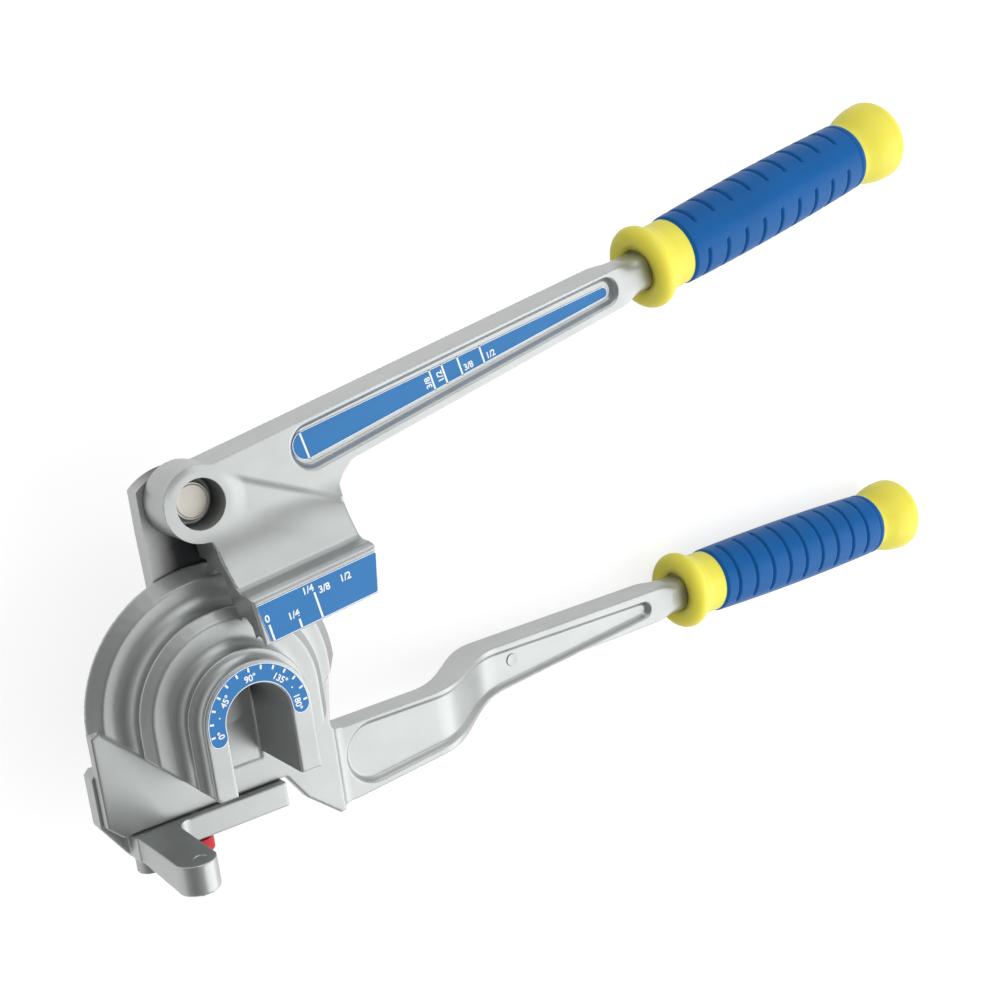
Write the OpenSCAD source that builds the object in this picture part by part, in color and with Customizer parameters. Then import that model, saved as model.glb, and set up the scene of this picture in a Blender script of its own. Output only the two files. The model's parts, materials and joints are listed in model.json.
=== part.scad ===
// Lever tube bender for three tube sizes, lying on its back with the dial face up.
// The forming wheel turns into the lower handle. A link behind the wheel carries the upper
// handle, whose grooved shoe wraps the tube round the wheel. A sliding hook holds the tube.
// X runs along the lower handle, Y towards the upper handle, Z along the pivots.
// Sizes are laid out from the wheel's axis, with depths measured down from the dial face,
// and the whole is then moved so that the middle of its underside is the origin.

/* [Tubes and bends] */
// Outside diameter of the small tube
small_tube_d = 6.35; // [5.5:0.05:7]
// Outside diameter of the middle tube
middle_tube_d = 9.53; // [8.5:0.05:10]
// Outside diameter of the large tube
large_tube_d = 12.7; // [11.5:0.05:13.2]
// Centre-line bend radius of the small tube
small_bend_r = 23; // [22.2:0.1:23.4]
// Centre-line bend radius of the middle tube
middle_bend_r = 27; // [26:0.1:27.6]
// Centre-line bend radius of the large tube
large_bend_r = 41.5; // [40.6:0.1:42]
// Gap between a tube and its groove
groove_gap = 0.08; // [0.02:0.01:0.2]

/* [Forming wheel] */
// Radius of the hub that carries the dial
hub_r = 21; // [20.4:0.1:21.6]
// Dial face to the near side of the small groove
front_margin = 0.65; // [0.4:0.05:1.5]
// Radius of the crest behind the small groove
crest1_r = 23.7; // [23.4:0.1:24.2]
// Width of the crest behind the small groove
crest1_w = 0.85; // [0.6:0.05:1.5]
// Radius where the bevel of the second step starts
step_bevel_r = 32.6; // [31:0.1:34]
// Radius of the crest behind the middle groove
crest2_r = 36.2; // [35.8:0.1:36.8]
// Depth of the bevel of the second step
step_bevel_h = 4; // [3:0.1:5]
// Radius where the bevel of the rim starts
rim_face_r = 45.2; // [44:0.1:46.5]
// Radius of the rim
rim_r = 50; // [48.5:0.1:51]
// Depth of the bevel of the rim
rim_bevel_h = 4.7; // [3.5:0.1:5]
// Thickness of the rim behind the grooves
plate_t = 5.5; // [5:0.1:7]
// Distance from the axis to the slanted end of the steps on the left
left_cut = 31.8; // [30:0.1:33]
// Distance from the axis to the slanted end of the steps on the right
right_cut = 35.2; // [34:0.1:36]
// Length of the hub legs below the axis
leg_len = 25.5; // [23:0.5:27]
// Width of the hollow between the hub legs
hollow_w = 25; // [22:0.5:26]
// How far the plate's face lies below the rim's face
plate_drop = 1; // [0.4:0.1:1.5]
// How far the floor of the hollow lies below the plate face
hollow_drop = 0.4; // [0.2:0.1:1]
// Bottom edge of the plate below the axis
plate_bottom = 39; // [38:0.5:41]
// Lowest corner of the plate below the axis
blade_bottom = 61.5; // [60:0.5:64]
// Right edge of the plate
blade_x = 42.5; // [41:0.5:44]

/* [Dial] */
// Outer radius of the dial band
dial_outer_r = 19.7; // [19:0.1:20.2]
// Inner radius of the dial band
dial_inner_r = 13; // [12.8:0.1:14]
// Turn of the dial scale from the lower handle's line
dial_turn = 4.3; // [0:0.1:6]
// Thickness of every scale label
label_t = 0.25; // [0.15:0.05:0.5]

/* [Lower handle] */
// Depth of the lower grip's axis
lower_axis_depth = 67; // [64:0.5:72]
// Lower grip's axis below the wheel axis
lower_axis_y = 37.6; // [36:0.2:39]
// Front end of the lower grip
lower_grip_x = 246; // [230:0.5:265]
// Top edge of the bar below the wheel axis
bar_top = 29.8; // [29:0.1:31]
// Height of the bar beside the plate
bar_root_h = 32; // [30:0.5:33]
// Height of the bar at the grip
bar_end_h = 15.5; // [14:0.1:17]
// Depth of the bar's face beside the plate
bar_face_depth = 36; // [35.5:0.1:38]
// Thickness of the bar beside the plate
bar_root_t = 10.5; // [9:0.5:12]
// Thickness of the bar at the grip
bar_end_t = 14.5; // [12:0.5:16]
// Start of the offset bend along the bar
jog_start = 93; // [90:1:98]
// End of the offset bend along the bar
jog_end = 140; // [134:1:148]
// Depth of the long recess in each bar
recess_depth = 2.6; // [1.5:0.1:3.5]

/* [Link] */
// Distance between the two pivots
link_len = 75; // [72:0.5:80]
// Half width of the link at the wheel's axis
link_r = 14.2; // [13.5:0.1:14.4]
// Half width of the link at the upper pivot
link_top_r = 15.7; // [15:0.1:15.8]
// How far the link reaches past the upper pivot
link_end = 11.2; // [10:0.2:13]
// Thickness of the link
link_t = 7.8; // [6:0.1:9]
// Running gap between parts that slide face to face
face_gap = 0.3; // [0.2:0.05:0.5]
// Diameter of the wheel's pivot pin
centre_pin_d = 12; // [10:0.5:14]
// Diameter of the upper handle's pivot pin
link_pin_d = 10; // [8:0.5:11]
// Radial gap between a pin and its bush
pin_gap = 0.05; // [0.02:0.01:0.1]
// Wall of the pivot bushes
bush_wall = 2; // [1.5:0.1:2.5]

/* [Upper handle] */
// Lean of the upper handle from the lower handle's line
handle_lean = 13.65; // [12:0.05:16]
// Lean of the shoe from the lower handle's line
shoe_lean = 7.6; // [7:0.05:8.5]
// Depth of the upper grip's axis
upper_axis_depth = 27; // [26:0.5:28]
// Upper grip's axis below the upper pivot, square to the handle
upper_axis_v = 5.7; // [5:0.1:6.4]
// Front end of the upper grip, from the upper pivot
upper_grip_u = 214.9; // [200:0.1:230]
// Thickness of the upper bar
upper_bar_t = 17; // [15:0.5:17]
// Height of the upper bar at its root
upper_root_h = 25; // [23:0.5:25]
// Height of the upper bar at the grip
upper_end_h = 15.5; // [14:0.1:17]
// Radius of the pivot boss
boss_r = 14; // [13.5:0.1:15]
// Diameter of the counterbore for the pin head
counterbore_d = 18.5; // [17:0.1:20]
// Depth of the counterbore
counterbore_h = 12; // [10:0.1:12.5]
// Height of the shoe's lower edge above the wheel axis
shoe_edge_h = 23; // [23:0.1:24]
// Height of the shoe's front face
shoe_face_h = 16.5; // [15:0.1:17.5]
// Left end of the shoe along its own line
shoe_start = 9.9; // [9:0.1:11]
// Right end of the shoe along its own line
shoe_end = 57.6; // [56:0.1:59]
// How far the shoe's right end leans out at the top
shoe_flare = 3.6; // [2:0.1:4]
// Gap between the shoe's lips and the wheel's steps
shoe_gap = 1; // [0.6:0.1:1.5]

/* [Grips] */
// Diameter of the bar's round tang inside a grip
tang_d = 18; // [16:0.2:18.4]
// Length of the tang inside a grip
tang_len = 112; // [90:1:125]
// Gap between the tang and the grip liner
tang_gap = 0.05; // [0.02:0.01:0.2]
// Diameter of the collar
collar_d = 35.8; // [33:0.2:37]
// Length of the collar's ring
collar_len = 9; // [7:0.5:12]
// Distance from the collar to the sleeve
neck_len = 12; // [10:0.5:16]
// Diameter of the sleeve
sleeve_d = 30; // [28:0.2:31]
// Length of the sleeve
sleeve_len = 108; // [104:1:116]
// Wall of the sleeve
sleeve_wall = 3; // [2:0.1:3.4]
// Diameter of the end knob
knob_d = 36; // [33:0.5:38]
// Length of the end knob
knob_len = 27; // [24:0.5:30]
// Number of finger grooves along the sleeve
rib_count = 9; // [6:1:9]
// Distance from the sleeve's start to the first finger groove
rib_lead = 7.6; // [5:0.1:9]
// Distance between finger grooves
rib_pitch = 10.9; // [9:0.1:11.4]
// Width of a finger groove
rib_w = 1.2; // [0.8:0.1:1.6]
// Depth of a finger groove
rib_depth = 0.9; // [0.5:0.1:1.2]
// Arc of each finger groove
rib_arc = 132; // [90:2:140]

/* [Tube hook] */
// Right side of the hook's arm left of the wheel axis
arm_side = 26.2; // [25.5:0.1:27]
// Width of the hook's arm
arm_w = 15; // [13:0.5:16]
// How far the arm reaches in front of the dial face
arm_reach = 10.4; // [7:0.2:12]
// Height of the hook's foot below the plate
foot_h = 9.7; // [9.5:0.1:11]
// Height of the arm at its tip
arm_tip_h = 11.3; // [10:0.1:13]
// How far the foot stands in front of the plate face
foot_proud = 3.6; // [3:0.1:5]
// Right end of the foot
foot_right = 18.5; // [17:0.5:19]
// Left edge of the hook's rear plate
hook_left = 51; // [49:0.5:52]
// Top edge of the hook's rear plate below the axis
hook_top = 14; // [13.9:0.1:17]
// Travel of the hook from the small tube to the large one
hook_travel = 21.5; // [20:0.1:22]
// Diameter of the guide screws' shoulders
guide_d = 6; // [5:0.1:7]
// Distance of the guide slot below the axis
guide_y = 28; // [26:0.5:30]

/* [Hook lock] */
// Lock plunger left of the wheel axis
lock_x = 17.5; // [16:0.5:19]
// Diameter of the plunger's nose
lock_nose_d = 4; // [3:0.1:4.2]
// Diameter of the spring chamber
lock_chamber_d = 9; // [8:0.1:10]
// Diameter of the pull knob
lock_knob_d = 12; // [10:0.5:14]
// Height of the pull knob
lock_knob_h = 6.5; // [5:0.5:8]
// Wire of the lock spring
lock_wire = 0.6; // [0.4:0.05:0.7]

/* [Hidden] */
$fn = 64;
far = 400;
eps = 0.01;

// Levels: the thickest part of the lower grip rests on Z = 0
dial_z = max(knob_d, collar_d) / 2 + lower_axis_depth;
function level(depth) = dial_z - depth;

// Groove radii and depths of the groove centres
small_groove_r = small_tube_d / 2 + groove_gap;
middle_groove_r = middle_tube_d / 2 + groove_gap;
large_groove_r = large_tube_d / 2 + groove_gap;
function lip_half(groove_r, bend_r, lip_r) = sqrt(pow(groove_r, 2) - pow(bend_r - lip_r, 2));
small_depth = front_margin + small_groove_r;
small_wall = small_depth + small_groove_r;
middle_depth = small_wall + crest1_w + lip_half(middle_groove_r, middle_bend_r, crest1_r);
middle_wall = middle_depth + middle_groove_r;
crest2_depth = middle_wall + step_bevel_h;
large_depth = crest2_depth + lip_half(large_groove_r, large_bend_r, crest2_r);
plate_depth = large_depth + large_groove_r;
plate_face = plate_depth + plate_drop;
plate_back = plate_depth + plate_t;
hollow_floor = plate_face + hollow_drop;
link_front = plate_back + face_gap;
link_back = link_front + link_t;

// Plate corners
plate_corner = 5;
plate_left_top = 0.5;
plate_diagonal_x = blade_x - (blade_bottom - plate_bottom) + 0.5;
blade_top = 23;

// Upper handle
upper_face = upper_axis_depth - upper_bar_t / 2;
upper_back = upper_axis_depth + upper_bar_t / 2;
boss_face = upper_face - 0.5;
web_face = upper_face + 0.3;
web_back = upper_back - 0.4;
pin_head_h = 3;
pin_head_d = counterbore_d - 5.3;
upper_bottom_v = upper_axis_v + upper_end_h / 2;
shoe_face_top = shoe_edge_h + shoe_face_h;
web_right = shoe_end + shoe_flare;

// Bars end this far in front of the grip, turned down over the length of the nose
grip_gap = 4;
nose_len = 10;
nose_flare = 4;

// Grip stations along its own axis
sleeve_start = collar_len + neck_len;
sleeve_end = sleeve_start + sleeve_len;
knob_end = sleeve_end + knob_len;
knob_mid = sleeve_end + knob_len * 0.7;
knob_round = 6;

// Hook
hook_front = plate_face - foot_proud;
hook_back = link_back;
hook_plate_front = plate_back + face_gap;
foot_top = plate_bottom + face_gap;
foot_bottom = foot_top + foot_h;
hook_corner = 2;
guide_screw_x = [-34, -10];
guide_gap = 0.1;
guide_head_d = 11;
guide_head_h = 3.5;
guide_washer_t = 1;
guide_thread_d = 5;
guide_thread_len = 3.4;
drag_screw_x = -hook_left + 15;
drag_screw_d = 6;
drag_head_d = 11;
drag_head_h = 5.5;
drag_head_bottom = foot_bottom + drag_head_h;

// Lock plunger stations below the axis
lock_depth = (plate_face + plate_back) / 2;
lock_tip = plate_bottom + face_gap - 0.1;
lock_shoulder = foot_top + 3.2;
lock_collar_h = 0.8;
lock_cap_h = 1.2;
lock_cap_top = foot_bottom - lock_cap_h;
lock_stem_d = 3;
lock_gap = 0.1;
lock_knob_gap = 0.4;

// Middle of the plan, from the wheel's axis
plan_left = -max(rim_r, hook_left);
plan_right = lower_grip_x + knob_end;
plan_bottom = -blade_bottom;
plan_top =
    link_len + (upper_grip_u + knob_mid) * sin(handle_lean)
    + (knob_d / 2 - knob_round - upper_axis_v) * cos(handle_lean) + knob_round;
plan_middle = [(plan_left + plan_right) / 2, (plan_bottom + plan_top) / 2];
echo(plan_middle = plan_middle, dial_z = dial_z, plate_depth = plate_depth, large_depth = large_depth,
    middle_depth = middle_depth, small_depth = small_depth, link_back = link_back);

// Helpers

// Moves a solid laid out from the wheel's axis into the object's frame
module placed() {
    translate([-plan_middle[0], -plan_middle[1], 0]) children();
}

// Point on a circle
function polar(c, r, a) = [c[0] + r * cos(a), c[1] + r * sin(a)];

// Outline of a slot with two round ends of different radius
function slot_outline(a, ra, b, rb, n = 14) =
    let (
        dir = atan2(b[1] - a[1], b[0] - a[0]),
        tilt = acos((ra - rb) / norm(b - a))
    )
    concat(
        [for (i = [0 : n]) polar(a, ra, dir + tilt + (360 - 2 * tilt) * i / n)],
        [for (i = [0 : n]) polar(b, rb, dir - tilt + 2 * tilt * i / n)]
    );

// Smooth step from 0 to 1
function ease(t) = t <= 0 ? 0 : t >= 1 ? 1 : (1 - cos(180 * t)) / 2;

// A plan made solid between two depths
module slice(top_depth, bottom_depth) {
    translate([0, 0, level(bottom_depth)])
        linear_extrude(bottom_depth - top_depth) children();
}

// Cylinder along Z between two depths
module disc(d, top_depth, bottom_depth) {
    translate([0, 0, level(bottom_depth)]) cylinder(d = d, h = bottom_depth - top_depth);
}

// A block that starts at a distance from the wheel's axis, in the direction of an angle
module beyond(angle, distance, top_depth, bottom_depth) {
    rotate([0, 0, angle])
        translate([distance, -far / 2, level(bottom_depth)])
            cube([far, far, bottom_depth - top_depth]);
}

// Frames

// Places the upper handle's own axes: origin at the upper pivot, X along the handle
module along_upper_handle() {
    translate([0, link_len, 0]) rotate([0, 0, handle_lean]) children();
}

// Turns a solid drawn along Z so that it runs along a grip's axis
module along_lower_grip() {
    translate([lower_grip_x, -lower_axis_y, level(lower_axis_depth)]) rotate([0, 90, 0]) children();
}

module along_upper_grip() {
    along_upper_handle()
        translate([upper_grip_u, -upper_axis_v, level(upper_axis_depth)]) rotate([0, 90, 0]) children();
}

// Forming wheel and lower handle

// Half section of the stepped wheel: X is the radius, Y is minus the depth
module wheel_section() {
    difference() {
        polygon([
            [0, 0], [hub_r, 0], [hub_r, -small_depth], [small_bend_r, -small_depth],
            [small_bend_r, -small_wall], [crest1_r, -small_wall],
            [crest1_r, -middle_depth], [middle_bend_r, -middle_depth],
            [middle_bend_r, -middle_wall], [step_bevel_r, -middle_wall],
            [crest2_r, -crest2_depth], [crest2_r, -large_depth], [large_bend_r, -large_depth],
            [large_bend_r, -plate_depth], [rim_face_r, -plate_depth],
            [rim_r, -plate_depth - rim_bevel_h], [rim_r, -plate_back], [0, -plate_back]
        ]);
        translate([small_bend_r, -small_depth]) circle(r = small_groove_r);
        translate([middle_bend_r, -middle_depth]) circle(r = middle_groove_r);
        translate([large_bend_r, -large_depth]) circle(r = large_groove_r);
    }
}

module stepped_wheel() {
    difference() {
        translate([0, 0, dial_z]) {
            rotate_extrude($fn = 128) wheel_section();
            rotate([90, 0, 0]) linear_extrude(leg_len) {
                wheel_section();
                mirror([1, 0]) wheel_section();
            }
        }
        beyond(225, left_cut, -1, plate_face);
        beyond(-45, right_cut, -1, plate_back + 1);
        beyond(-90, leg_len, -1, plate_face);
        beyond(-90, plate_bottom, -1, plate_back + 1);
    }
}

module wheel_plate() {
    slice(plate_face, plate_back)
        polygon([
            [-rim_r, plate_left_top], [-rim_r, plate_corner - plate_bottom],
            [plate_corner - rim_r, -plate_bottom], [plate_diagonal_x, -plate_bottom],
            [plate_diagonal_x + 7.5, -plate_bottom - 11.4],
            [blade_x - 1.5, -blade_bottom], [blade_x, -blade_bottom + 1], [blade_x, -blade_top],
            [rim_r - 5, -4.5], [0, rim_r / 2]
        ]);
}

// Face and back of the lower bar as depths against X: the back bends a little earlier
bar_end_face = lower_axis_depth - 8;
back_lead = 5;
jog_len = jog_end - jog_start;
function between(a, b, t) = a + (b - a) * ease(t);
function bar_face(x) = between(bar_face_depth, bar_end_face, (x - jog_start) / jog_len);
function bar_back(x) =
    between(bar_face_depth + bar_root_t, bar_end_face + bar_end_t, (x - jog_start + back_lead) / jog_len);

bar_end = lower_grip_x - grip_gap;
bar_steps = 24;
bar_stations = [for (i = [0 : bar_steps]) jog_start - back_lead + (jog_len + back_lead) * i / bar_steps];
bar_end_mid = -lower_axis_y;

// Side view of the lower bar: X along the bar, Y is minus the depth
module bar_side(face_drop = 0, back = true) {
    polygon(concat(
        [[plate_diagonal_x + 3, -plate_face - face_drop], [blade_x, -plate_face - face_drop]],
        [for (t = [0 : 15 : 90])
            [blade_x + 6 * (1 - cos(t)) * 0.9 + 1,
             -plate_face - face_drop - (bar_face_depth - plate_face) * sin(t)]],
        [for (x = bar_stations) [x, -bar_face(x) - face_drop]],
        [[bar_end, -bar_face(bar_end) - face_drop]],
        back
            ? concat(
                [[bar_end, -bar_back(bar_end)]],
                [for (i = [bar_steps : -1 : 0]) [bar_stations[i], -bar_back(bar_stations[i])]],
                [[blade_x + 2, -bar_face_depth - bar_root_t], [plate_diagonal_x + 3, -plate_back]])
            : [[bar_end, 0], [plate_diagonal_x + 3, 0]]
    ));
}

// Plan of the lower bar
module bar_plan() {
    polygon([
        [plate_diagonal_x, -bar_top], [blade_x, -blade_top - 3], [blade_x + 3, -bar_top + 1],
        [blade_x + 8, -bar_top], [bar_end, bar_end_mid + bar_end_h / 2],
        [bar_end, bar_end_mid - bar_end_h / 2], [jog_end + 40, bar_end_mid - bar_end_h / 2 - 0.6],
        [jog_end, bar_end_mid - bar_end_h / 2 - 4.9], [jog_start + 12, bar_end_mid - bar_end_h / 2 - 10.6],
        [blade_x + 10, -bar_top - bar_root_h + 1],
        [blade_x + 4, -blade_bottom + 0.6], [blade_x - 1.5, -blade_bottom], [plate_diagonal_x, -plate_bottom]
    ]);
}

// Solid along Z that leaves a bar square and turns its last stretch down towards the tang
module turned_end(length) {
    cylinder(r = far / 3, h = length - nose_len);
    translate([0, 0, length - nose_len])
        cylinder(r1 = tang_d / 2 + nose_flare, r2 = tang_d / 2 + 0.4, h = nose_len);
}

// Round tang along Z, rooted in the bar and running into the grip from Z = 0
module tang() {
    root = 2 * grip_gap;
    translate([0, 0, -root]) cylinder(d = tang_d, h = root + tang_len);
}

module extrude_along_y() {
    rotate([90, 0, 0]) translate([0, 0, -far / 2]) linear_extrude(far) children();
}

module lower_bar() {
    intersection() {
        slice(-1, lower_axis_depth + far / 4) bar_plan();
        translate([0, 0, dial_z]) extrude_along_y() bar_side();
        along_lower_grip() translate([0, 0, -far]) turned_end(far - grip_gap);
    }
    along_lower_grip() tang();
}

// Long recess in the lower bar, at constant depth below its face
module lower_recess() {
    intersection() {
        slice(-1, lower_axis_depth + far / 4)
            polygon(slot_outline(
                [blade_x + 19.5, -bar_top - bar_root_h / 2 + 1.5], bar_root_h / 2 - 3.6,
                [bar_end - 20.5, bar_end_mid], bar_end_h / 2 - 4.2));
        translate([0, 0, dial_z]) extrude_along_y() bar_side(recess_depth, false);
    }
}

module forming_wheel_handle() {
    color("silver") placed()
        difference() {
            union() {
                stepped_wheel();
                wheel_plate();
                lower_bar();
            }
            // Hollow between the hub legs
            slice(-1, plate_depth) {
                circle(d = hollow_w);
                translate([-hollow_w / 2, -leg_len - 1]) square([hollow_w, leg_len + 1]);
            }
            slice(plate_depth - 1, hollow_floor) {
                circle(d = hollow_w);
                translate([-hollow_w / 2, -leg_len - 3]) square([hollow_w, leg_len + 3]);
            }
            lower_recess();
            disc(centre_pin_d + 2 * (pin_gap + bush_wall), plate_depth, plate_back + 1);
            for (x = guide_screw_x)
                translate([x, -guide_y, 0])
                    disc(guide_thread_d, plate_back - guide_thread_len - 0.3, plate_back + 1);
        }
}

module angle_dial() {
    mid_r = (dial_outer_r + dial_inner_r) / 2;
    end_r = (dial_outer_r - dial_inner_r) / 2;
    color("steelblue") placed()
        slice(-label_t, 0)
            rotate(dial_turn) {
                difference() {
                    circle(r = dial_outer_r);
                    circle(r = dial_inner_r);
                    translate([-far / 2, -far - 1.2]) square([far, far]);
                }
                for (side = [-1, 1])
                    translate([side * mid_r, -1.2]) circle(r = end_r);
            }
}

// Grips

module grip_liner() {
    neck_r = sleeve_d / 2 - 0.6;
    core_r = sleeve_d / 2 - sleeve_wall;
    ring_r = collar_len / 2;
    difference() {
        rotate_extrude() {
            // Collar ring, neck and core
            translate([collar_d / 2 - ring_r, ring_r]) circle(r = ring_r);
            square([collar_d / 2 - ring_r, collar_len]);
            polygon([
                [0, collar_len / 2], [neck_r + 0.9, collar_len / 2], [neck_r + 0.9, collar_len],
                [neck_r, collar_len + neck_len / 2], [neck_r, sleeve_start], [0, sleeve_start]
            ]);
            square([core_r, sleeve_end + 1]);
            // Flared knob with a round end
            polygon([
                [0, sleeve_end], [neck_r - 0.4, sleeve_end], [neck_r - 0.4, sleeve_end + 2.5],
                [neck_r + 0.6, sleeve_end + 5], [knob_d / 2 - 1.4, sleeve_end + 9],
                [knob_d / 2 - 0.3, knob_mid - 5], [knob_d / 2 - 0.3, knob_mid], [0, knob_mid]
            ]);
            translate([knob_d / 2 - knob_round, knob_mid]) circle(r = knob_round);
            translate([0, knob_mid - knob_round]) square([knob_d / 2 - knob_round, 2 * knob_round]);
            intersection() {
                translate([0, knob_end - 36]) circle(r = 36, $fn = 128);
                translate([0, knob_mid]) square([knob_d / 2 - 4, knob_end]);
            }
        }
        translate([0, 0, -1]) cylinder(d = tang_d + 2 * tang_gap, h = tang_len + 2);
        translate([0, 0, -eps]) cylinder(d1 = tang_d + 2.4, d2 = tang_d, h = 1.2);
    }
}

module grip_sleeve(turn) {
    outer_r = sleeve_d / 2;
    inner_r = outer_r - sleeve_wall;
    swell = 1;
    first_rib = sleeve_start + rib_lead;
    difference() {
        rotate_extrude()
            polygon([
                [inner_r, sleeve_start], [outer_r - 0.8, sleeve_start], [outer_r - 0.2, sleeve_start + 1.5],
                [outer_r + swell, sleeve_start + sleeve_len / 3],
                [outer_r + swell, sleeve_end - sleeve_len / 3],
                [outer_r - 0.2, sleeve_end - 1.5], [outer_r - 0.8, sleeve_end], [inner_r, sleeve_end]
            ]);
        for (i = [0 : rib_count - 1], side = [0, 180])
            rotate([0, 0, turn + side - rib_arc / 2])
                rotate_extrude(angle = rib_arc)
                    translate([outer_r - rib_depth, first_rib + rib_pitch * i - rib_w / 2])
                        square([3, rib_w]);
    }
}

module lower_grip_liner() {
    color("khaki") placed() along_lower_grip() grip_liner();
}

module lower_grip_sleeve() {
    color("royalblue") placed() along_lower_grip() grip_sleeve(157);
}

module upper_grip_liner() {
    color("khaki") placed() along_upper_grip() grip_liner();
}

module upper_grip_sleeve() {
    color("royalblue") placed() along_upper_grip() grip_sleeve(75);
}

// Link and pivots

module link_arm() {
    blunt_r = 24;
    waist = link_len - link_end;
    color("gainsboro") placed()
        difference() {
            slice(link_front, link_back) {
                circle(r = link_r);
                intersection() {
                    translate([-link_top_r, 0]) square([2 * link_top_r, link_len + far / 4]);
                    translate([0, link_len + link_end - blunt_r]) circle(r = blunt_r);
                    translate([-far / 2, waist]) square(far);
                }
                polygon([[-link_r, 0], [link_r, 0], [link_top_r, waist + 1], [-link_top_r, waist + 1]]);
            }
            disc(centre_pin_d, link_front - 1, link_back + 1);
            translate([0, link_len, 0]) disc(link_pin_d, link_front - 1, link_back + 1);
        }
}

rivet_h = 2;
washer_t = 1;
bush_flange_t = 1;
centre_head_d = 18;
centre_head_back = hollow_floor - bush_flange_t - washer_t - 0.1;

module centre_bush() {
    bush_d = centre_pin_d + 2 * (pin_gap + bush_wall);
    color("peru") placed()
        difference() {
            union() {
                disc(bush_d, hollow_floor, plate_back);
                disc(bush_d + 3, hollow_floor - bush_flange_t, hollow_floor);
            }
            disc(centre_pin_d + 2 * pin_gap, hollow_floor - 2, plate_back + 1);
        }
}

module centre_washer() {
    color("lightgray") placed()
        difference() {
            disc(centre_head_d + 3, centre_head_back, centre_head_back + washer_t);
            disc(centre_pin_d, centre_head_back - 1, centre_head_back + washer_t + 1);
        }
}

module centre_pin() {
    color("lightgray") placed() {
        disc(centre_head_d, centre_head_back - pin_head_h, centre_head_back);
        disc(centre_pin_d, centre_head_back - 1, link_back + washer_t + rivet_h);
        disc(centre_pin_d + 4, link_back + washer_t, link_back + washer_t + rivet_h);
    }
}

module rivet_washer(pin_d) {
    difference() {
        disc(pin_d + 9, link_back, link_back + washer_t);
        disc(pin_d, link_back - 1, link_back + washer_t + 1);
    }
}

module centre_rivet_washer() {
    color("lightgray") placed() rivet_washer(centre_pin_d);
}

module link_pin_rivet_washer() {
    color("lightgray") placed() translate([0, link_len, 0]) rivet_washer(link_pin_d);
}

pin_seat = boss_face + counterbore_h;

module link_pin() {
    head_back = pin_seat - washer_t;
    color("lightgray") placed()
        translate([0, link_len, 0]) {
            disc(pin_head_d, head_back - pin_head_h, head_back);
            disc(link_pin_d, head_back - 1, link_back + washer_t + rivet_h);
            disc(link_pin_d + 4, link_back + washer_t, link_back + washer_t + rivet_h);
        }
}

module link_pin_washer() {
    color("lightgray") placed()
        translate([0, link_len, 0])
            difference() {
                disc(pin_head_d + 2.5, pin_seat - washer_t + 0.1, pin_seat);
                disc(link_pin_d + 2 * pin_gap, pin_seat - 2, pin_seat + 1);
            }
}

module link_pin_bush() {
    color("peru") placed()
        translate([0, link_len, 0])
            difference() {
                disc(link_pin_d + 2 * (pin_gap + bush_wall), pin_seat, plate_back);
                disc(link_pin_d + 2 * pin_gap, pin_seat - 1, plate_back + 1);
            }
}

// Upper handle with the shoe

// Section of the shoe and web: X is the height above the wheel axis, Y is minus the depth
module shoe_section() {
    web_top = link_len + far / 4;
    difference() {
        polygon([
            [shoe_edge_h, 0], [shoe_face_top, 0], [shoe_face_top + 1, -0.5], [shoe_face_top + 2, -2.5],
            [shoe_face_top + 2.6, -8], [shoe_face_top + 3.8, -10], [shoe_face_top + 18.3, -web_face],
            [web_top, -web_face], [web_top, -web_back],
            [rim_r + shoe_gap, -web_back], [rim_r + shoe_gap, -plate_depth + shoe_gap / 2],
            [large_bend_r, -plate_depth + shoe_gap / 2], [large_bend_r, -crest2_depth],
            [crest2_r + shoe_gap, -crest2_depth], [step_bevel_r + shoe_gap, -middle_wall + shoe_gap / 2],
            [middle_bend_r, -middle_wall + shoe_gap / 2], [middle_bend_r, -middle_depth],
            [crest1_r + shoe_gap, -middle_depth], [crest1_r + shoe_gap, -small_depth],
            [shoe_edge_h, -small_depth]
        ]);
        translate([small_bend_r, -small_depth]) circle(r = small_groove_r);
        translate([middle_bend_r, -middle_depth]) circle(r = middle_groove_r);
        translate([large_bend_r, -large_depth]) circle(r = large_groove_r);
    }
}

// Plan of the shoe and web
module shoe_plan() {
    turn = shoe_lean;
    function on_shoe(s, h) = [s * cos(turn) - h * sin(turn), s * sin(turn) + h * cos(turn)];
    polygon([
        on_shoe(shoe_start, shoe_edge_h - 1), on_shoe(shoe_end, shoe_edge_h - 1),
        on_shoe(web_right, shoe_face_top), on_shoe(web_right + 0.6, shoe_face_top + 6.5),
        on_shoe(web_right + 1.8, link_len - 17), on_shoe(web_right + 2.1, link_len - 14),
        on_shoe(web_right + 4.4, link_len - 11), on_shoe(web_right + 9.5, link_len - 7.4),
        on_shoe(web_right + 13.9, link_len - 5.8), on_shoe(web_right + 18, link_len - 5.3),
        on_shoe(shoe_end + 1.2, link_len + 6.8), on_shoe(shoe_start + 0.9, link_len + 5.8),
        on_shoe(shoe_start - 3.3, link_len), on_shoe(shoe_start, link_len - boss_r - 4)
    ]);
}

module shoe_and_web() {
    intersection() {
        slice(-1, upper_back + 1) shoe_plan();
        translate([0, 0, dial_z]) rotate([0, 0, shoe_lean])
            rotate([90, 0, 90]) translate([0, 0, -far / 2]) linear_extrude(far) shoe_section();
    }
}

upper_bar_end = upper_grip_u - grip_gap;

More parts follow.
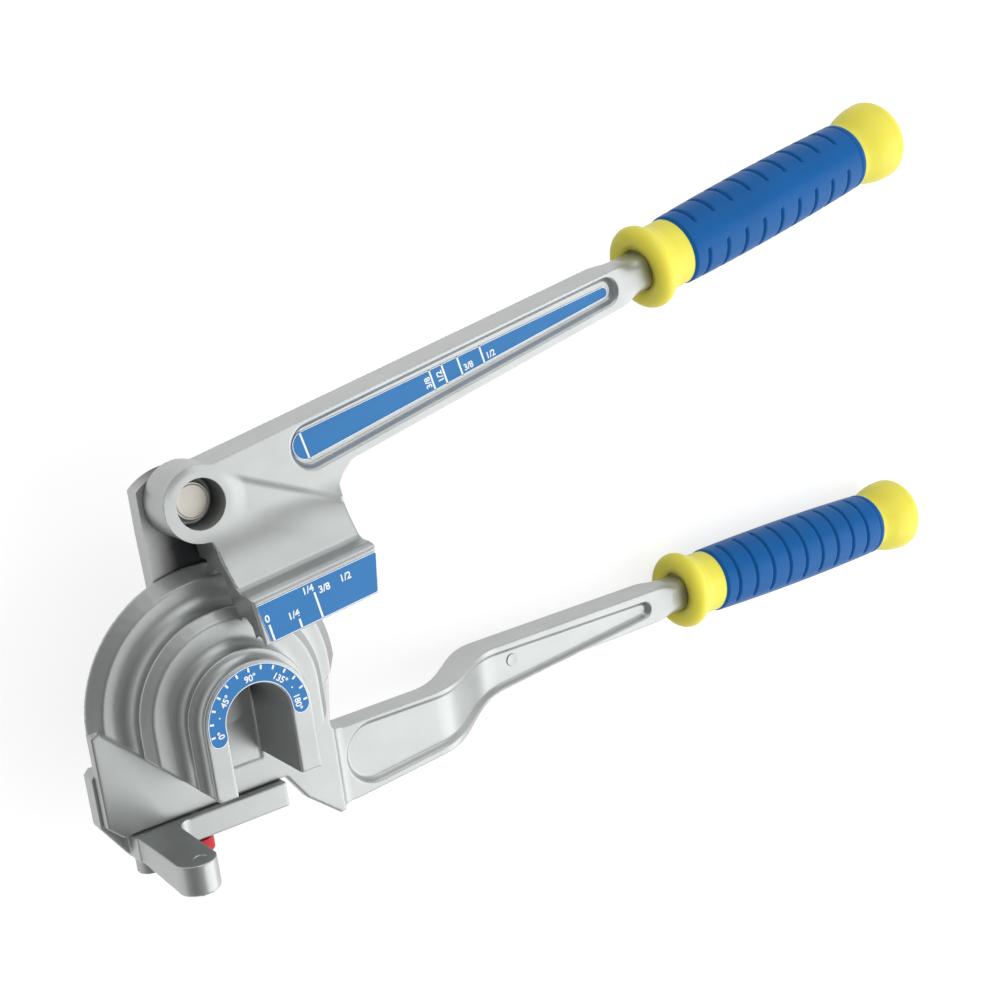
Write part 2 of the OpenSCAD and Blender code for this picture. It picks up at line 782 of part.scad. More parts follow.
module upper_bar() {
    along_upper_handle() {
        intersection() {
            slice(upper_face, upper_back)
                polygon([
                    [0, -boss_r + 3], [60, -upper_bottom_v + 0.6], [upper_bar_end, -upper_bottom_v],
                    [upper_bar_end, -upper_bottom_v + upper_end_h], [0, -upper_bottom_v + upper_root_h]
                ]);
            translate([0, -upper_axis_v, level(upper_axis_depth)])
                rotate([0, 90, 0]) turned_end(upper_bar_end);
        }
    }
    along_upper_grip() tang();
}

// Long recess in the upper bar and the label in it, wider at the pivot than at the grip
recess_left = 47;
recess_right = upper_bar_end - 19.4;

module upper_recess_plan() {
    polygon(slot_outline([recess_left, -0.9], 8.2, [recess_right, -upper_axis_v + 1.5], 5.4));
}

module handle_scale_plan() {
    polygon(slot_outline([recess_left - 1, -0.4], 5.4, [recess_right, -upper_axis_v + 0.9], 2.3));
}

module upper_handle_shoe() {
    color("silver") placed()
        difference() {
            union() {
                translate([0, link_len, 0]) disc(2 * boss_r, boss_face, plate_back);
                shoe_and_web();
                upper_bar();
            }
            translate([0, link_len, 0]) {
                disc(counterbore_d, boss_face - 1, pin_seat);
                disc(link_pin_d + 2 * (pin_gap + bush_wall), pin_seat - 1, plate_back + 1);
            }
            along_upper_handle() slice(upper_face - 1, upper_face + recess_depth) upper_recess_plan();
        }
}

module shoe_scale() {
    corner = 0.8;
    top = shoe_face_top - 1.1;
    bottom = shoe_edge_h + 0.7;
    top_left = shoe_start + 0.9;
    bottom_left = shoe_start + 2.3;
    bottom_right = shoe_end - 0.4;
    top_right = web_right - 0.5;
    color("steelblue") placed()
        slice(-label_t, 0)
            rotate(shoe_lean)
                polygon([
                    [bottom_left + corner, bottom], [bottom_right - corner, bottom],
                    [bottom_right + 0.2, bottom + corner], [top_right - 0.2, top - corner],
                    [top_right - corner, top], [top_left + corner, top],
                    [top_left, top - corner], [bottom_left, bottom + corner]
                ]);
}

module handle_scale() {
    color("steelblue") placed()
        along_upper_handle()
            slice(upper_face + recess_depth - label_t, upper_face + recess_depth)
                handle_scale_plan();
}

// Tube hook

// Arm with a round end, a little deeper at its tip
module hook_arm() {
    intersection() {
        translate([-arm_side - arm_w / 2, -far / 2, 0]) rotate([-90, 0, 0])
            linear_extrude(far) {
                translate([-arm_w / 2, -level(-arm_reach) + arm_w / 2])
                    square([arm_w, hook_back + arm_reach - arm_w / 2]);
                translate([0, -level(-arm_reach) + arm_w / 2]) circle(d = arm_w);
            }
        translate([-arm_side - arm_w, 0, dial_z]) rotate([90, 0, 90])
            linear_extrude(arm_w)
                polygon([
                    [-foot_top, -hook_back], [-foot_top, arm_reach], [-foot_top - arm_tip_h, arm_reach],
                    [-foot_bottom, -hook_front], [-foot_bottom, -hook_back]
                ]);
    }
}

module tube_hook() {
    slot_left = guide_screw_x[0];
    slot_right = guide_screw_x[1] + hook_travel;
    slot_r = guide_d / 2 + guide_gap;
    color("silver") placed()
        difference() {
            union() {
                // Rear plate
                slice(hook_plate_front, hook_back)
                    polygon([
                        [-hook_left + hook_corner, -hook_top], [-hook_left, -hook_top - hook_corner],
                        [-hook_left, -foot_bottom + 14], [-hook_left + 9, -foot_bottom],
                        [foot_right, -foot_bottom], [foot_right, -hook_top - 6],
                        [-hook_left + 22, -hook_top - 6], [-hook_left + 18, -hook_top]
                    ]);
                // Foot under the plate
                translate([-hook_left + 9, -foot_bottom, level(hook_back)])
                    cube([foot_right + hook_left - 9, foot_h, hook_back - hook_front]);
                hook_arm();
            }
            // Guide slot
            slice(hook_plate_front - 1, hook_back + 1) {
                translate([slot_left, -guide_y - slot_r]) square([slot_right - slot_left, 2 * slot_r]);
                for (x = [slot_left, slot_right])
                    translate([x, -guide_y]) circle(r = slot_r);
            }
            // Stepped bore of the lock plunger
            lock_bore(lock_nose_d + 2 * lock_gap, foot_top - 1, lock_shoulder + 1);
            lock_bore(lock_chamber_d, lock_shoulder, foot_bottom + 1);
            drag_bore(drag_screw_d, foot_top - 1, foot_bottom + 1);
        }
}

// Cylinder along Y between two distances below the wheel axis, in the middle of the plate
module upright(x, d, top, bottom) {
    translate([x, -bottom, level(lock_depth)]) rotate([-90, 0, 0]) cylinder(d = d, h = bottom - top);
}

module lock_bore(d, top, bottom) {
    upright(-lock_x, d, top, bottom);
}

module drag_bore(d, top, bottom) {
    upright(drag_screw_x, d, top, bottom);
}

module drag_screw() {
    slot_w = 1.4;
    slot_h = 1.2;
    color("gray") placed()
        difference() {
            union() {
                drag_bore(drag_screw_d, foot_top, foot_bottom + 1);
                drag_bore(drag_head_d, foot_bottom, drag_head_bottom);
            }
            translate([drag_screw_x - drag_head_d, -drag_head_bottom - 1, level(lock_depth) - slot_w / 2])
                cube([2 * drag_head_d, slot_h + 1, slot_w]);
        }
}

module guide_screws() {
    shoulder_end = hook_back + guide_washer_t;
    color("gray") placed()
        for (x = guide_screw_x)
            translate([x, -guide_y, 0])
                difference() {
                    union() {
                        disc(guide_thread_d, plate_back - guide_thread_len, plate_back + 1);
                        disc(guide_d, plate_back, shoulder_end + 1);
                        disc(guide_head_d, shoulder_end + face_gap, shoulder_end + face_gap + guide_head_h);
                    }
                    translate([0, 0, level(shoulder_end + face_gap + guide_head_h + 1)])
                        cylinder(d = 4.6, h = 3, $fn = 6);
                }
}

module guide_washers() {
    color("lightgray") placed()
        for (x = guide_screw_x)
            translate([x, -guide_y, 0])
                difference() {
                    disc(guide_head_d + 2, hook_back + face_gap, hook_back + face_gap + guide_washer_t);
                    disc(guide_d + 2 * guide_gap, hook_back, hook_back + 3);
                }
}

// Hook lock

module lock_cap() {
    color("gray") placed()
        difference() {
            lock_bore(lock_chamber_d, lock_cap_top, foot_bottom);
            lock_bore(lock_stem_d + 2 * lock_gap, lock_cap_top - 1, foot_bottom + 1);
        }
}

module lock_pin() {
    collar_top = lock_shoulder + lock_gap;
    color("lightgray") placed() {
        lock_bore(lock_nose_d, lock_tip, collar_top + 0.4);
        lock_bore(lock_chamber_d - 0.6, collar_top, collar_top + lock_collar_h);
        lock_bore(lock_stem_d, collar_top, foot_bottom + lock_knob_gap + lock_knob_h - 1.5);
    }
}

module lock_knob() {
    top = foot_bottom + lock_knob_gap;
    color("crimson") placed()
        difference() {
            union() {
                lock_bore(lock_knob_d, top, top + lock_knob_h - 1.5);
                lock_bore(lock_knob_d - 3, top, top + lock_knob_h);
            }
            lock_bore(lock_stem_d, top - 1, top + lock_knob_h - 1.5);
        }
}

spring_turns = 3;
spring_ring = 16;
spring_sides = 6;
spring_r = lock_chamber_d / 2 - 0.4 - lock_wire / 2 - 0.3;
spring_top = lock_shoulder + lock_gap + lock_collar_h + lock_wire / 2 + 0.1;
spring_len = lock_cap_top - lock_wire / 2 - 0.1 - spring_top;
spring_count = spring_turns * spring_ring;
function spring_centre(i) =
    let (p = polar([0, 0], spring_r, 360 * i / spring_ring))
    [p[0], p[1], spring_len * i / spring_count];
echo(lock_spring_gap = spring_len / spring_turns - lock_wire);

module lock_spring() {
    points = [
        for (i = [0 : spring_count], k = [0 : spring_sides - 1])
            let (
                c = spring_centre(i),
                a = 360 * i / spring_ring,
                b = 360 * k / spring_sides
            )
            c + lock_wire / 2 * [cos(b) * cos(a), cos(b) * sin(a), sin(b)]
    ];
    function at(i, k) = i * spring_sides + k % spring_sides;
    walls = [
        for (i = [0 : spring_count - 1], k = [0 : spring_sides - 1], half = [0, 1])
            half == 0
                ? [at(i, k), at(i, k + 1), at(i + 1, k)]
                : [at(i, k + 1), at(i + 1, k + 1), at(i + 1, k)]
    ];
    caps = [
        for (k = [1 : spring_sides - 2], end = [0, 1])
            end == 0
                ? [at(0, 0), at(0, k + 1), at(0, k)]
                : [at(spring_count, 0), at(spring_count, k), at(spring_count, k + 1)]
    ];
    color("gray") placed()
        translate([-lock_x, -spring_top, level(lock_depth)]) rotate([90, 0, 0])
            polyhedron(points, concat(walls, caps));
}

forming_wheel_handle();
angle_dial();
lower_grip_liner();
lower_grip_sleeve();
centre_bush();
guide_screws();
guide_washers();
link_arm();
centre_pin();
centre_washer();
centre_rivet_washer();
link_pin();
link_pin_rivet_washer();
upper_handle_shoe();
link_pin_bush();
link_pin_washer();
shoe_scale();
handle_scale();
upper_grip_liner();
upper_grip_sleeve();
tube_hook();
drag_screw();
lock_cap();
lock_pin();
lock_knob();
lock_spring();
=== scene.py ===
# Looks of the lever tube bender: rounded castings, printed scales, moulded grips and their materials.
# The part is laid out in millimetres from the wheel's axis, with depths below the dial's underside.
# The floor and the lamps are placed in metres.
import json
import math

import bpy
from mathutils import Matrix, Vector


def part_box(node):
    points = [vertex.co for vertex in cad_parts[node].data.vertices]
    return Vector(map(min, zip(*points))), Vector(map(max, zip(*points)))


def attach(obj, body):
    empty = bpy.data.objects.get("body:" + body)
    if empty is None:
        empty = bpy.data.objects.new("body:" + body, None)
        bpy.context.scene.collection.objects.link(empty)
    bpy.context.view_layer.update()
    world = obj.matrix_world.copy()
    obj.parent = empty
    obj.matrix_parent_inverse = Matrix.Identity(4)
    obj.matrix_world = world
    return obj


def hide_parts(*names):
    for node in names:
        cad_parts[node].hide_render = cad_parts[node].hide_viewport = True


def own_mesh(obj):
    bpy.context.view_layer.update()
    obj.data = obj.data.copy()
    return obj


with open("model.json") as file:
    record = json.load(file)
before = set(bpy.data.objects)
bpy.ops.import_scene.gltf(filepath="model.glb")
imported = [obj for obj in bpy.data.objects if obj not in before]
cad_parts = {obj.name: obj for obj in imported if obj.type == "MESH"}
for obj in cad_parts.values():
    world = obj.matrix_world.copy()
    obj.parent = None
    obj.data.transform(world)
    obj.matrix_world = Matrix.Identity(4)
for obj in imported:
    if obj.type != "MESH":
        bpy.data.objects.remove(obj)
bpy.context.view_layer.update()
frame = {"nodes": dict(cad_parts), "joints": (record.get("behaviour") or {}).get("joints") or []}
nodes = frame["nodes"]
scene = bpy.context.scene

# Layout of the solids

MM = 0.001
EAST = Vector((1, 0, 0))
NORTH = Vector((0, 1, 0))
UP = Vector((0, 0, 1))
JOINTS = {joint["name"]: joint for joint in frame["joints"]}
WHEEL_AXIS = Vector(JOINTS["link_swing"]["pos_m"])
LINK_AXIS = Vector(JOINTS["handle_lift"]["pos_m"])
DIAL_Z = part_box("angle_dial")[0][2]
LABEL_T = (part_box("angle_dial")[1][2] - DIAL_Z) / MM
LINK_LEN = (LINK_AXIS.y - WHEEL_AXIS.y) / MM
LINK_HALF_W = 15.7
HANDLE_LABEL_DEPTH = (DIAL_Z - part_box("handle_scale")[0][2]) / MM
HANDLE_LEAN = math.radians(13.65)
SHOE_LEAN = math.radians(7.6)
# Turn of the dial in degrees
DIAL_TURN = 4.3


def spot(x, y, depth):
    """A point laid out from the wheel's axis, in the frame."""
    return Vector((WHEEL_AXIS.x + x * MM, WHEEL_AXIS.y + y * MM, DIAL_Z - depth * MM))


def laid_out(point):
    """The x, y and depth of a point of the frame."""
    return ((point.x - WHEEL_AXIS.x) / MM, (point.y - WHEEL_AXIS.y) / MM, (DIAL_Z - point.z) / MM)


def turned(x, y, angle):
    """(x, y) turned by an angle."""
    return (x * math.cos(angle) - y * math.sin(angle), x * math.sin(angle) + y * math.cos(angle))


def on_shoe(s, h):
    """Plan position on the shoe: s along it, h away from the wheel's axis."""
    return turned(s, h, SHOE_LEAN)


def on_handle(u, v):
    """Plan position on the upper handle: u along it from the upper pivot, v across it."""
    x, y = turned(u, v, HANDLE_LEAN)
    return (x, y + LINK_LEN)


def smooth(t):
    """Smooth step from 0 to 1."""
    t = min(max(t, 0.0), 1.0)
    return t * t * (3 - 2 * t)


def curve_through(points, steps=6):
    """Points on a smooth curve through the given ones."""
    out = []
    for i in range(len(points) - 1):
        before = points[max(i - 1, 0)]
        a, b = points[i], points[i + 1]
        after = points[min(i + 2, len(points) - 1)]
        for k in range(steps):
            t = k / steps
            place = []
            for p0, p1, p2, p3 in zip(before, a, b, after):
                bend = 2 * p0 - 5 * p1 + 4 * p2 - p3
                twist = 3 * (p1 - p2) + p3 - p0
                place.append(p1 + t * (p2 - p0 + t * (bend + t * twist)) / 2)
            out.append(tuple(place))
    return out + [points[-1]]


def arc(centre, radius, start, end, count=14):
    """Points on an arc; angles in degrees."""
    points = []
    for i in range(count + 1):
        a = math.radians(start + (end - start) * i / count)
        points.append((centre[0] + radius * math.cos(a), centre[1] + radius * math.sin(a)))
    return points


# Materials


def new_material(name):
    mat = bpy.data.materials.new(name)
    mat.use_nodes = True
    tree = mat.node_tree
    shader = tree.nodes["Principled BSDF"]
    coords = tree.nodes.new("ShaderNodeTexCoord")
    return mat, tree, shader, coords.outputs["Object"]


def noise(tree, coords, scale, detail=4.0, roughness=0.55):
    node = tree.nodes.new("ShaderNodeTexNoise")
    node.inputs["Scale"].default_value = scale
    node.inputs["Detail"].default_value = detail
    node.inputs["Roughness"].default_value = roughness
    tree.links.new(coords, node.inputs["Vector"])
    return node.outputs["Fac"]


def ramp(tree, value, stops):
    """Colours or greys at places along a value; stops are (place, colour or grey)."""
    node = tree.nodes.new("ShaderNodeValToRGB")
    elements = node.color_ramp.elements
    while len(elements) < len(stops):
        elements.new(0.5)
    for element, (place, tone) in zip(elements, stops):
        element.position = place
        element.color = (tone, tone, tone, 1) if isinstance(tone, (int, float)) else (*tone, 1)
    tree.links.new(value, node.inputs["Fac"])
    return node.outputs["Color"]


def bump(tree, shader, value, strength, distance):
    node = tree.nodes.new("ShaderNodeBump")
    node.inputs["Strength"].default_value = strength
    node.inputs["Distance"].default_value = distance
    tree.links.new(value, node.inputs["Height"])
    tree.links.new(node.outputs["Normal"], shader.inputs["Normal"])


def math_node(tree, operation, first, second):
    """Result of an operation on two inputs, each a socket or a number."""
    node = tree.nodes.new("ShaderNodeMath")
    node.operation = operation
    for socket, value in zip(node.inputs, (first, second)):
        if isinstance(value, (int, float)):
            socket.default_value = value
        else:
            tree.links.new(value, socket)
    return node.outputs[0]


def shade(colour, factor):
    return tuple(min(c * factor, 1.0) for c in colour)


def grained(name, colour, metallic, roughness, grain, spread=0.06, bump_mm=0.02, sheen=0.5, patch=60):
    """A surface whose tone and gloss drift over it, with a fine grain of the given size in mm."""
    mat, tree, shader, coords = new_material(name)
    drift = noise(tree, coords, patch)
    tone = ramp(tree, drift, [(0.3, shade(colour, 1 - spread)), (0.7, shade(colour, 1 + spread))])
    tree.links.new(tone, shader.inputs["Base Color"])
    fine = noise(tree, coords, 1 / (grain * MM), detail=3)
    gloss = ramp(tree, fine, [(0.25, roughness - 0.05), (0.75, roughness + 0.05)])
    tree.links.new(gloss, shader.inputs["Roughness"])
    bump(tree, shader, fine, 0.35, bump_mm * MM)
    shader.inputs["Metallic"].default_value = metallic
    shader.inputs["Specular IOR Level"].default_value = sheen
    return mat


def let_light_in(mat, weight, radius, reach):
    """Lets light some way into a plastic, which softens its shading; the reach is in mm."""
    inputs = mat.node_tree.nodes["Principled BSDF"].inputs
    inputs["Subsurface Weight"].default_value = weight
    inputs["Subsurface Radius"].default_value = radius
    inputs["Subsurface Scale"].default_value = reach * MM


CASTING = grained("cast_aluminium", (0.445, 0.463, 0.46), 0.85, 0.38, 0.5, spread=0.04, bump_mm=0.012)
GREY_STEEL = grained("grey_steel", (0.40, 0.41, 0.415), 0.8, 0.40, 0.35, spread=0.12, bump_mm=0.03)
STEEL = grained("turned_steel", (0.60, 0.57, 0.51), 0.7, 0.42, 0.4, bump_mm=0.03)
# Blackened steel for the screws and the lock cap; on the link pin's washer the same dark steel is painted
# shade round the pin's head
BLACKENED_STEEL_AND_PAINTED_SHADE = grained("blackened_steel_and_painted_shade", (0.22, 0.225, 0.23), 0.6, 0.45, 0.4)
SPRING_STEEL = grained("spring_wire", (0.42, 0.42, 0.43), 1.0, 0.3, 0.2)
BRONZE = grained("bush_bronze", (0.45, 0.29, 0.13), 0.9, 0.38, 0.4)
YELLOW = grained("yellow_liner", (0.86, 0.78, 0.085), 0.0, 0.40, 0.35, spread=0.02, bump_mm=0.01, sheen=0.35)
let_light_in(YELLOW, 0.5, (1.0, 0.85, 0.3), 5)
BLUE_GRIP = grained("blue_sleeve", (0.002, 0.104, 0.345), 0.0, 0.42, 0.3, spread=0.05, sheen=0.16)
LABEL_TONE = (0.024, 0.185, 0.47)
LABEL_BLUE = grained("label_blue", LABEL_TONE, 0.0, 0.45, 0.25, spread=0.03, bump_mm=0.004, sheen=0.3)
PRINT_WHITE = grained("label_white", (0.84, 0.88, 0.92), 0.0, 0.45, 0.25, spread=0.02, bump_mm=0.004)
RED = grained("lock_red", (0.57, 0.007, 0.02), 0.0, 0.42, 0.3, spread=0.05, bump_mm=0.006, sheen=0.25)

# Painted light and shade on the link: tones by the share of the way from its open edge to its middle line,
# painted lighter at the edge and near black under the boss
LINK_PAINTED_SHADE_TONES = [(0.08, (0.50, 0.51, 0.51)), (0.30, (0.36, 0.36, 0.36)), (0.75, (0.05, 0.05, 0.055))]


def painted_shade_link_material():
    """Steel with painted shade: painted lighter along the link's open edge and near black towards its middle
    line, where the boss and shoe shade it.
    """
    mat, tree, shader, coords = new_material("link_steel")
    split = tree.nodes.new("ShaderNodeSeparateXYZ")
    tree.links.new(coords, split.inputs[0])
    from_edge = math_node(tree, "SUBTRACT", split.outputs["X"], WHEEL_AXIS.x - LINK_HALF_W * MM)
    share = math_node(tree, "MULTIPLY", from_edge, 1 / (LINK_HALF_W * MM))
    mottle = noise(tree, coords, 260)
    share = math_node(tree, "ADD", share, math_node(tree, "MULTIPLY", mottle, 0.16))
    tree.links.new(ramp(tree, share, LINK_PAINTED_SHADE_TONES), shader.inputs["Base Color"])
    bump(tree, shader, mottle, 0.3, 0.03 * MM)
    shader.inputs["Metallic"].default_value = 0.75
    shader.inputs["Roughness"].default_value = 0.42
    return mat


LINK_STEEL_PAINTED_SHADE = painted_shade_link_material()


def paint(piece, mat):
    piece.data.materials.clear()
    piece.data.materials.append(mat)


# Building meshes

# Radius at which a turned profile ends on its axis
NEAR_AXIS = 0.05


def place_piece(name, mesh, mat, body):
    piece = bpy.data.objects.new(name, mesh)
    scene.collection.objects.link(piece)
    paint(piece, mat)
    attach(piece, body)
    return piece


def add_mesh(name, verts, faces, mat, body, flat=False):
    mesh = bpy.data.meshes.new(name)
    mesh.from_pydata([tuple(v) for v in verts], [], faces)
    mesh.update()
    if not flat:
        mesh.shade_smooth()
    return place_piece(name, mesh, mat, body)


def rounded_copy(node, mat, body, voxel, passes, reshape):
    """A copy of a solid whose edges are rounded as a die casting's are.

    reshape takes a point's x, y and depth and gives its new ones."""
    work = bpy.data.objects.new(node + "_work", nodes[node].data.copy())
    scene.collection.objects.link(work)
    remesh = work.modifiers.new("round", "REMESH")
    remesh.mode = "VOXEL"
    remesh.voxel_size = voxel * MM
    relax = work.modifiers.new("relax", "SMOOTH")
    relax.factor = 0.5
    relax.iterations = passes
    deps = bpy.context.evaluated_depsgraph_get()
    mesh = bpy.data.meshes.new_from_object(work.evaluated_get(deps))
    bpy.data.objects.remove(work)
    for vertex in mesh.vertices:
        vertex.co = spot(*reshape(*laid_out(vertex.co)))
    mesh.update()
    mesh.shade_smooth()
    piece = place_piece(node + "_cast", mesh, mat, body)
    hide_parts(node)


def around(axis, distance, radius, angle):
    """A point round an axis, which is given as (start, direction, side)."""
    start, along, side = axis
    out = along.cross(side) * math.cos(angle) + side * math.sin(angle)
    return start + (along * distance + out * radius) * MM


def ring_faces(low, high, segments):
    """Faces between two rings of a turned mesh, given by their numbers."""
    faces = []
    for k in range(segments):
        n = (k + 1) % segments
        faces.append((low * segments + k, low * segments + n, high * segments + n, high * segments + k))
    return faces


def lathe(name, profile, axis, mat, body, segments=128):
    """Turns a profile of (distance along, radius) about an axis."""
    verts = []
    for distance, radius in profile:
        for k in range(segments):
            verts.append(around(axis, distance, radius, 2 * math.pi * k / segments))
    faces = []
    for i in range(len(profile) - 1):
        faces += ring_faces(i, i + 1, segments)
    return add_mesh(name, verts, faces, mat, body)


# Long recesses of the two bars, with walls that slope from the rim to the foot

RECESS_RIM = 0.8
RECESS_FOOT = -1.7
# Depth below a recess's floor that still belongs to the floor
RECESS_SLACK = 0.5


def slot_distance(p, q, a, ra, b, rb):
    """How far a plan point lies outside a slot with round ends of radius ra at a and rb at b."""
    along = (b[0] - a[0], b[1] - a[1])
    length_2 = along[0] ** 2 + along[1] ** 2
    t = ((p - a[0]) * along[0] + (q - a[1]) * along[1]) / length_2
    t = min(max(t, 0.0), 1.0)
    return math.hypot(p - a[0] - along[0] * t, q - a[1] - along[1] * t) - ra - (rb - ra) * t


def recess_depth(face, floor, distance):
    """Depth at a distance from a recess's edge: the floor inside it, the face outside it."""
    return floor + (face - floor) * smooth((distance - RECESS_FOOT) / (RECESS_RIM - RECESS_FOOT))


# Bar ends, whose square section turns round where they enter the grips

END_TURN = 14.0
END_PAST = 6.0
END_POWER = 3.2


def rounded_end(across, down, half_h, half_t, t):
    """Moves a point of a bar's section, given from its middle, towards a rounded section by the share t."""
    spread = (abs(across / half_h) ** END_POWER + abs(down / half_t) ** END_POWER) ** (1 / END_POWER)
    scale = 1 + (1 / spread - 1) * t
    return across * scale, down * scale


# Lower handle: depths of the bar's face by the wheel and by the grip, and where it bends between them

BAR_FACE = 36.0
BAR_END_FACE = 59.0
JOG_START = 93.0
JOG_END = 140.0
LOWER_RECESS = ((62.0, -44.3), 12.4, (221.5, -37.6), 3.55)
LOWER_RECESS_DROP = 2.6
LOWER_BAR_START = 48.0
LOWER_BAR_END = 242.0
LOWER_BAR_MID = (-37.6, 66.25)
LOWER_BAR_HALF = (7.75, 7.25)


def bar_face(x):
    """Depth of the lower bar's face, which bends down between the wheel and the grip."""
    t = min(max((x - JOG_START) / (JOG_END - JOG_START), 0.0), 1.0)
    return BAR_FACE + (BAR_END_FACE - BAR_FACE) * (1 - math.cos(math.pi * t)) / 2


def wheel_shape(x, y, depth):
    """The lower handle's recess, and its rounded end."""
    if x < LOWER_BAR_START:
        return x, y, depth
    face = bar_face(x)
    floor_depth = face + LOWER_RECESS_DROP
    distance = slot_distance(x, y, *LOWER_RECESS)
    if distance < RECESS_RIM and depth < floor_depth + RECESS_SLACK:
        return x, y, recess_depth(face, floor_depth, distance)
    if LOWER_BAR_END - END_TURN < x < LOWER_BAR_END + END_PAST:
        t = smooth((x - LOWER_BAR_END + END_TURN) / END_TURN)
        mid_y, mid_depth = LOWER_BAR_MID
        y, depth = rounded_end(y - mid_y, depth - mid_depth, *LOWER_BAR_HALF, t)
        return x, y + mid_y, depth + mid_depth
    return x, y, depth


# Upper handle: depths of its front, of the lowest face brought flush with it, and of what is left as it is

FRONT_FACE = 18.0
FRONT_LOWEST = 19.0
FRONT_KEPT = 21.0
UPPER_RECESS = ((47.0, -0.9), 8.2, (191.5, -4.2), 5.4)
UPPER_FLOOR = 21.1
UPPER_BAR_END = 210.9
UPPER_BAR_MID = (-5.7, 27.0)
UPPER_BAR_HALF = (7.75, 8.5)

# Web under the handle: the crease across it, the pivot boss that it keeps clear of, and the web's slope
CREASE = ((3.2, 87.9), (54.5, 65.7))
CREASE_DEPTH = 1.0
CREASE_STEP = 4.0
CREASE_REACH = 17.0
BOSS_EDGE = 11.0
BOSS_EASE = 7.0
SLOPE_START = (43.3, 10.0)
SLOPE_RISE = 0.607
SLOPE_ROUND = 5.0
WEB_EASE = 9.0


def flush_front(depth):
    """Brings the boss, the bar and the web, which lie within a millimetre, to one face."""
    if depth < FRONT_FACE or depth > FRONT_KEPT:
        return depth
    below = max(depth - FRONT_LOWEST, 0) / (FRONT_KEPT - FRONT_LOWEST)
    return FRONT_FACE + (FRONT_KEPT - FRONT_FACE) * below


def web_drop(x, y, depth):
    """Extra depth of the web: a rounded fold at the slope's top and a shallow valley under the crease."""
    h = turned(x, y, -SHOE_LEAN)[1]
    slope = SLOPE_START[1] + (h - SLOPE_START[0]) * SLOPE_RISE
    near_front = 1 - smooth((depth - min(slope, FRONT_LOWEST)) / WEB_EASE)
    fold = max(SLOPE_ROUND - abs(slope - FRONT_FACE), 0) / SLOPE_ROUND
    drop = -fold * fold * SLOPE_ROUND / 4
    (ax, ay), (bx, by) = CREASE
    below = ((x - ax) * (by - ay) - (y - ay) * (bx - ax)) / math.hypot(bx - ax, by - ay)
    if 0 < below < CREASE_REACH:
        rise_back = 1 - smooth((below - CREASE_STEP) / (CREASE_REACH - CREASE_STEP))
        clear_of_boss = smooth((math.hypot(x, y - LINK_LEN) - BOSS_EDGE) / BOSS_EASE)
        drop += CREASE_DEPTH * smooth(below / CREASE_STEP) * rise_back * clear_of_boss
    return drop * near_front


def lever_shape(x, y, depth):
    """The upper handle's recess and rounded end, and the web between the handle and the shoe."""
    u, v = turned(x, y - LINK_LEN, -HANDLE_LEAN)
    distance = slot_distance(u, v, *UPPER_RECESS)
    if distance < RECESS_RIM and depth < UPPER_FLOOR + RECESS_SLACK:
        return x, y, recess_depth(FRONT_FACE, UPPER_FLOOR, distance)
    if UPPER_BAR_END - END_TURN < u < UPPER_BAR_END + END_PAST:
        t = smooth((u - UPPER_BAR_END + END_TURN) / END_TURN)
        mid_v, mid_depth = UPPER_BAR_MID
        v, depth = rounded_end(v - mid_v, flush_front(depth) - mid_depth, *UPPER_BAR_HALF, t)
        x, y = on_handle(u, v + mid_v)
        return x, y, depth + mid_depth
    return x, y, flush_front(depth) + web_drop(x, y, depth)


# Hook: the arm's side and the foot's face, which meet in a fillet

ARM_SIDE = -26.2
FOOT_FACE = 27.87
FOOT_TOP = -39.3
ROOT_FILLET = 4.5
# How far past the foot's top and below its face points still follow the fillet
FILLET_PAST = 0.5
FILLET_BELOW = 2.0


def hook_shape(x, y, depth):
    """The fillet between the arm and the foot's face."""
    d = x - ARM_SIDE
    beside = d < 0 or d > ROOT_FILLET
    if beside or y > FOOT_TOP + FILLET_PAST or depth > FOOT_FACE + FILLET_BELOW:
        return x, y, depth
    rise = ROOT_FILLET - math.sqrt(ROOT_FILLET ** 2 - (ROOT_FILLET - d) ** 2)
    return x, y, min(depth, FOOT_FACE - rise)


# Castings

VOXEL = 0.45
rounded_copy("forming_wheel_handle", CASTING, "former", VOXEL, 4, wheel_shape)
rounded_copy("upper_handle_shoe", CASTING, "lever", VOXEL, 5, lever_shape)
rounded_copy("tube_hook", CASTING, "hook", VOXEL, 5, hook_shape)

# Round mark of a mould pin on the floor of the lower recess

MARK_PLACE = (148, -39)
MARK_R = 2.8
MARK_FOOT = -0.4
MARK_EDGE = 0.12
MARK_EDGE_R = 0.3
mark_profile = [(MARK_FOOT, MARK_R), (MARK_EDGE, MARK_R)]
mark_profile += arc((MARK_EDGE, MARK_R - MARK_EDGE_R), MARK_EDGE_R, 90, 0, 5)
mark_profile += [(0.3, MARK_R - 0.8), (0.25, NEAR_AXIS)]
mark_axis = (spot(*MARK_PLACE, BAR_END_FACE + LOWER_RECESS_DROP), UP, EAST)
lathe("mould_pin_mark", mark_profile, mark_axis, CASTING, "former", 48)

# Turned rings on the head of the link pin

PIN_TOP = (DIAL_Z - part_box("link_pin")[1][2]) / MM
PIN_HEAD_R = 6.2
RING_COUNT = 11
RING_PITCH = 0.52
RING_LIP = 0.1
RING_CREST = 0.14
RING_VALLEY = 0.02
ring_profile = [(-0.2, PIN_HEAD_R), (0.06, PIN_HEAD_R - RING_LIP)]
for ring in range(1, RING_COUNT + 1):
    height = RING_CREST if ring % 2 else RING_VALLEY
    ring_profile.append((height, PIN_HEAD_R - RING_LIP - ring * RING_PITCH))
ring_profile.append((0.05, NEAR_AXIS))
lathe("pin_head_rings", ring_profile, (spot(0, LINK_LEN, PIN_TOP), UP, EAST), STEEL, "link", 96)

# Half-moon ridge on the side of the hook's arm that faces the upper handle

RIDGE_FOOT = (-32.7, -39.3, -5.2)
RIDGE_R = 2.6
RIDGE_WIDE = 0.35
RIDGE_SIDES = 6
RIDGE_STEPS = 24


